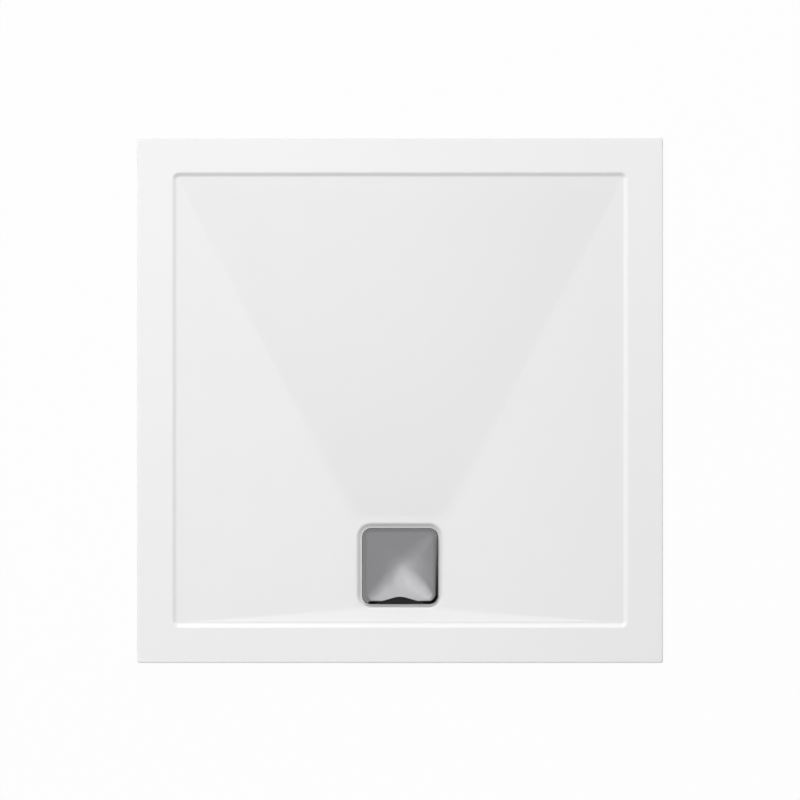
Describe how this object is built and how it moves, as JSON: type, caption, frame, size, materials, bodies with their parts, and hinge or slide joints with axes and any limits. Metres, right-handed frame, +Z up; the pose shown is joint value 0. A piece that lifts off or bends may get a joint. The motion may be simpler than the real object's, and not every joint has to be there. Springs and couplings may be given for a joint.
{
  "type": "shower tray",
  "caption": "Low square shower tray with a flat rim and a shallow floor that falls to a square-covered waste, with the clamped flange and the bottle trap under it.",
  "frame": {"origin": "centre of the tray's flat underside, where it lies on its bed", "axes": "+Z is up, out of the shower floor; +Y is towards the edge furthest from the waste; +X is to the right for someone who stands at the waste's edge and looks along +Y"},
  "size_m": [0.9, 0.9, 0.117],
  "materials": {
    "white_acrylic": "white acrylic skin, glossy",
    "cast_stone": "cast resin and mineral filler, rough underside",
    "black_rubber": "black seal rubber, matte",
    "stainless_steel": "pressed stainless steel, fine brushed",
    "screw_steel": "stainless steel screws",
    "insert_brass": "turned brass",
    "white_moulding": "white polypropylene moulding",
    "washer_plastic": "slippery natural-coloured washer",
    "grey_moulding": "grey polypropylene moulding",
    "carrier_plastic": "black moulding under the plate",
    "cover_chrome": "bright chromed steel"
  },
  "bodies": {
    "tray": {"acrylic_cap": "white_acrylic", "stone_core": "cast_stone", "flange_gasket": "black_rubber", "waste_flange": "stainless_steel", "flange_screws": "screw_steel", "screw_inserts": "insert_brass", "trap_gasket": "black_rubber", "trap_throat": "white_moulding", "bowl_seal": "black_rubber", "trap_bowl": "white_moulding", "outlet_seal": "black_rubber", "outlet_washer": "washer_plastic", "outlet_nut": "white_moulding"},
    "tube": {"dip_tube": "grey_moulding", "dip_tube_seal": "black_rubber"},
    "strainer": {"hair_strainer": "grey_moulding"},
    "cover": {"waste_cover": "cover_chrome", "cover_carrier": "carrier_plastic", "cover_pads": "black_rubber"}
  },
  "joints": [
    {"name": "dip_tube_lift", "type": "slide", "parent": "tray", "child": "tube", "axis": [0, 0, 1], "range_m": [0, 0.11]},
    {"name": "strainer_lift", "type": "slide", "parent": "tube", "child": "strainer", "axis": [0, 0, 1], "range_m": [0, 0.05]},
    {"name": "cover_lift", "type": "slide", "parent": "strainer", "child": "cover", "axis": [0, 0, 1], "range_m": [0, 0.06]}
  ]
}
